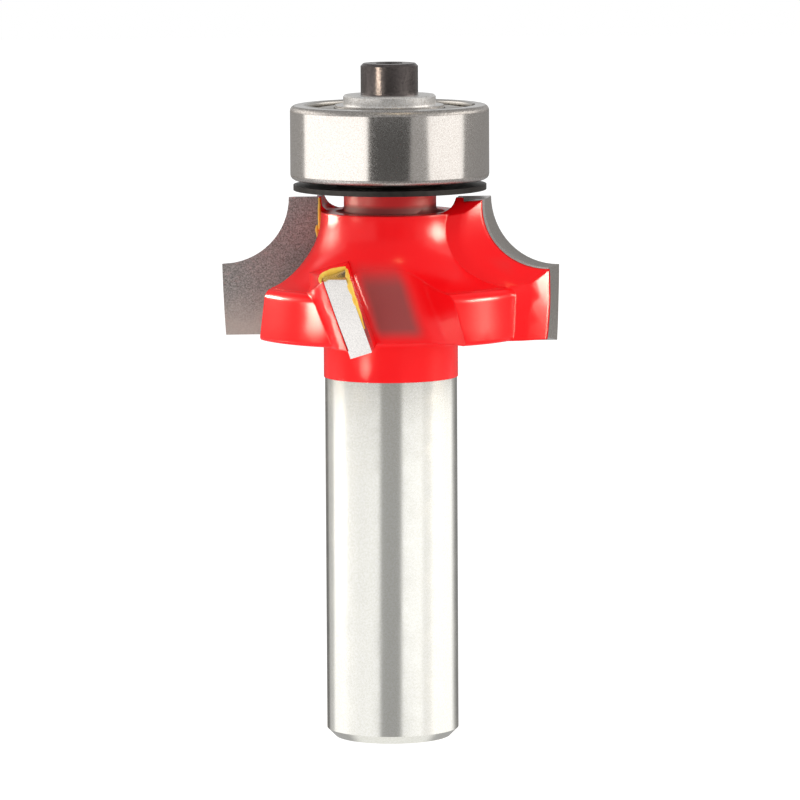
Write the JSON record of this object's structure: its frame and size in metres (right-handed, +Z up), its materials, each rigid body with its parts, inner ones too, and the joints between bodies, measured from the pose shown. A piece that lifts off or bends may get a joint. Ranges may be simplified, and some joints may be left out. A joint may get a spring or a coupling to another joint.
{
  "type": "router bit",
  "caption": "Rounding-over router bit with brazed carbide tips, a red enamelled body, a straight shank and a ball-bearing guide at its end.",
  "frame": {"origin": "centre of the shank's free end", "axes": "+Z up the turning axis, from the shank's free end towards the guide bearing"},
  "size_m": [0.0322, 0.0322, 0.0649],
  "materials": {
    "red_enamel": "gloss enamel over turned steel, shank left bright",
    "carbide": "fine ground",
    "dark_washer": "dark phosphate",
    "bearing_ring": "polished",
    "shield": "bright sheet",
    "clip_wire": "drawn wire",
    "cage": "pressed sheet",
    "ball": "polished",
    "plated_washer": "bright plated",
    "black_oxide": "black oxide"
  },
  "bodies": {
    "root": {"cutter_body": "red_enamel", "main_tip_1": "carbide", "main_tip_2": "carbide", "shear_tip_1": "carbide", "shear_tip_2": "carbide", "dust_washer": "dark_washer", "bearing_inner_ring": "bearing_ring", "retaining_washer": "plated_washer", "cap_screw": "black_oxide"},
    "outer_ring": {"bearing_outer_ring": "bearing_ring", "bearing_shield_top": "shield", "bearing_shield_bottom": "shield", "shield_clip_top": "clip_wire", "shield_clip_bottom": "clip_wire"},
    "ball_cage": {"cage_upper": "cage", "cage_lower": "cage", "cage_rivets": "cage"},
    "rolling_ball_1": {"ball_1": "ball"},
    "rolling_ball_2": {"ball_2": "ball"},
    "rolling_ball_3": {"ball_3": "ball"},
    "rolling_ball_4": {"ball_4": "ball"},
    "rolling_ball_5": {"ball_5": "ball"},
    "rolling_ball_6": {"ball_6": "ball"},
    "rolling_ball_7": {"ball_7": "ball"}
  },
  "joints": [
    {"name": "outer_ring_spin", "type": "hinge", "parent": "root", "child": "outer_ring", "pos_m": [0, 0, 0.05737], "axis": [0, 0, 1], "continuous": true},
    {"name": "cage_orbit", "type": "hinge", "parent": "root", "child": "ball_cage", "pos_m": [0, 0, 0.05737], "axis": [0, 0, 1], "continuous": true},
    {"name": "ball_1_spin", "type": "hinge", "parent": "ball_cage", "child": "rolling_ball_1", "pos_m": [0.00635, 0, 0.05737], "axis": [0, 0, 1], "continuous": true},
    {"name": "ball_2_spin", "type": "hinge", "parent": "ball_cage", "child": "rolling_ball_2", "pos_m": [0.00396, 0.00496, 0.05737], "axis": [0, 0, 1], "continuous": true},
    {"name": "ball_3_spin", "type": "hinge", "parent": "ball_cage", "child": "rolling_ball_3", "pos_m": [-0.00141, 0.00619, 0.05737], "axis": [0, 0, 1], "continuous": true},
    {"name": "ball_4_spin", "type": "hinge", "parent": "ball_cage", "child": "rolling_ball_4", "pos_m": [-0.00572, 0.00276, 0.05737], "axis": [0, 0, 1], "continuous": true},
    {"name": "ball_5_spin", "type": "hinge", "parent": "ball_cage", "child": "rolling_ball_5", "pos_m": [-0.00572, -0.00276, 0.05737], "axis": [0, 0, 1], "continuous": true},
    {"name": "ball_6_spin", "type": "hinge", "parent": "ball_cage", "child": "rolling_ball_6", "pos_m": [-0.00141, -0.00619, 0.05737], "axis": [0, 0, 1], "continuous": true},
    {"name": "ball_7_spin", "type": "hinge", "parent": "ball_cage", "child": "rolling_ball_7", "pos_m": [0.00396, -0.00496, 0.05737], "axis": [0, 0, 1], "continuous": true}
  ],
  "couplings": [
    {"joint": "cage_orbit", "follows": "outer_ring_spin", "ratio": 0.625},
    {"joint": "ball_1_spin", "follows": "outer_ring_spin", "ratio": 1.875},
    {"joint": "ball_2_spin", "follows": "outer_ring_spin", "ratio": 1.875},
    {"joint": "ball_3_spin", "follows": "outer_ring_spin", "ratio": 1.875},
    {"joint": "ball_4_spin", "follows": "outer_ring_spin", "ratio": 1.875},
    {"joint": "ball_5_spin", "follows": "outer_ring_spin", "ratio": 1.875},
    {"joint": "ball_6_spin", "follows": "outer_ring_spin", "ratio": 1.875},
    {"joint": "ball_7_spin", "follows": "outer_ring_spin", "ratio": 1.875}
  ]
}
